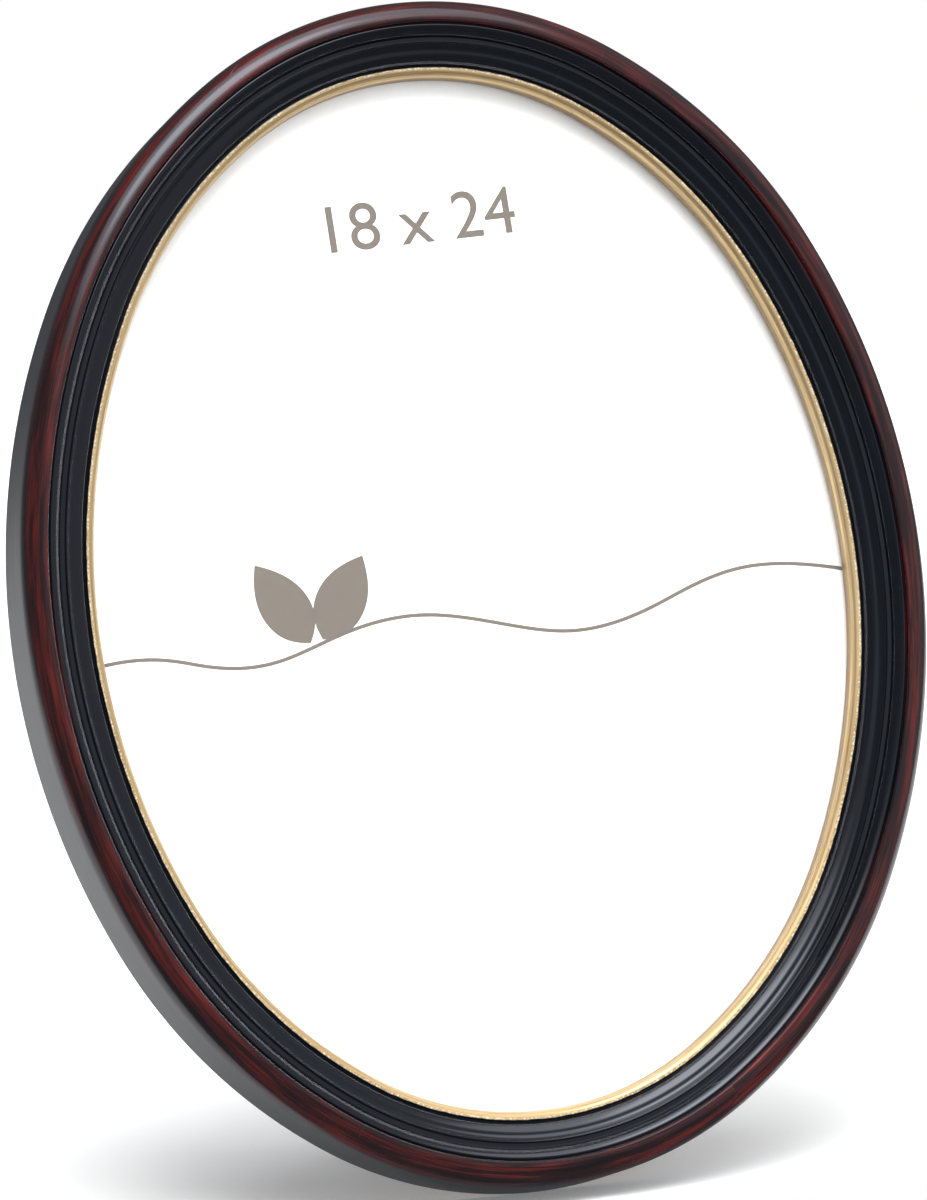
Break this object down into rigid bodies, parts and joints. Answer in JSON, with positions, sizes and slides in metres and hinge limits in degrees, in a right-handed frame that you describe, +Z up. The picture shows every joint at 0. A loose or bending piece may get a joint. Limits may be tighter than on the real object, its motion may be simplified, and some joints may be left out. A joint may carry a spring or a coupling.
{
  "type": "oval picture frame",
  "caption": "Oval table frame with a black, mahogany-red and gilt moulding around a glazed picture, leaning on a hinged strut, with a ring for hanging.",
  "frame": {"origin": "on the table, under the middle of the object's bounding box", "axes": "+Z up, +X to the right as seen from the front, -Y out of the front; the frame leans back 14 degrees"},
  "size_m": [0.2036, 0.0895, 0.26],
  "materials": {
    "moulding_wood": "satin black lacquer, red mahogany-grained bead and gilt lip",
    "picture_glass": "clear float glass",
    "print_paper": "matt heavy paper with a plain pale print",
    "grey_card": "uncoated grey card",
    "foam_board": "paper-faced foam board",
    "fibreboard": "medium-density fibreboard, black on its outer face",
    "hinge_steel": "zinc-plated pressed steel",
    "rivet_steel": "zinc-plated steel",
    "screw_brass": "brass-plated steel",
    "button_brass": "brass-plated pressed steel",
    "hanger_steel": "nickel-plated steel"
  },
  "bodies": {
    "frame": {"moulding_top": "moulding_wood", "moulding_right": "moulding_wood", "moulding_bottom": "moulding_wood", "moulding_left": "moulding_wood", "glass_pane": "picture_glass", "print_sheet": "print_paper", "backing_card": "grey_card", "foam_board": "foam_board", "back_board": "fibreboard", "hinge_board_leaf": "hinge_steel", "board_leaf_rivets": "rivet_steel", "hinge_pin": "rivet_steel", "button_screws": "screw_brass", "hanger_strap": "hanger_steel", "hanger_rivet": "rivet_steel"},
    "strut": {"strut": "fibreboard", "hinge_strut_leaf": "hinge_steel", "strut_leaf_rivets": "rivet_steel"},
    "hanger_ring": {"hanger_ring": "hanger_steel"},
    "turn_button_1": {"turn_button_1": "button_brass"},
    "turn_button_2": {"turn_button_2": "button_brass"},
    "turn_button_3": {"turn_button_3": "button_brass"},
    "turn_button_4": {"turn_button_4": "button_brass"},
    "turn_button_5": {"turn_button_5": "button_brass"},
    "turn_button_6": {"turn_button_6": "button_brass"}
  },
  "joints": [
    {"name": "strut_hinge", "type": "hinge", "parent": "frame", "child": "strut", "pos_m": [0, 0.02426, 0.18344], "axis": [-1, 0, 0], "range_deg": [0, 20]},
    {"name": "hanger_ring_swing", "type": "hinge", "parent": "frame", "child": "hanger_ring", "pos_m": [0, 0.03472, 0.22721], "axis": [1, 0, 0], "range_deg": [-12, 164]},
    {"name": "turn_button_1_pivot", "type": "hinge", "parent": "frame", "child": "turn_button_1", "pos_m": [0.07173, 0.02878, 0.21063], "axis": [0, 0.9703, -0.2419], "continuous": true},
    {"name": "turn_button_2_pivot", "type": "hinge", "parent": "frame", "child": "turn_button_2", "pos_m": [0.0968, 0.0081, 0.12769], "axis": [0, 0.9703, -0.2419], "continuous": true},
    {"name": "turn_button_3_pivot", "type": "hinge", "parent": "frame", "child": "turn_button_3", "pos_m": [0.07173, -0.01258, 0.04475], "axis": [0, 0.9703, -0.2419], "continuous": true},
    {"name": "turn_button_4_pivot", "type": "hinge", "parent": "frame", "child": "turn_button_4", "pos_m": [-0.07173, -0.01258, 0.04475], "axis": [0, 0.9703, -0.2419], "continuous": true},
    {"name": "turn_button_5_pivot", "type": "hinge", "parent": "frame", "child": "turn_button_5", "pos_m": [-0.0968, 0.0081, 0.12769], "axis": [0, 0.9703, -0.2419], "continuous": true},
    {"name": "turn_button_6_pivot", "type": "hinge", "parent": "frame", "child": "turn_button_6", "pos_m": [-0.07173, 0.02878, 0.21063], "axis": [0, 0.9703, -0.2419], "continuous": true}
  ]
}
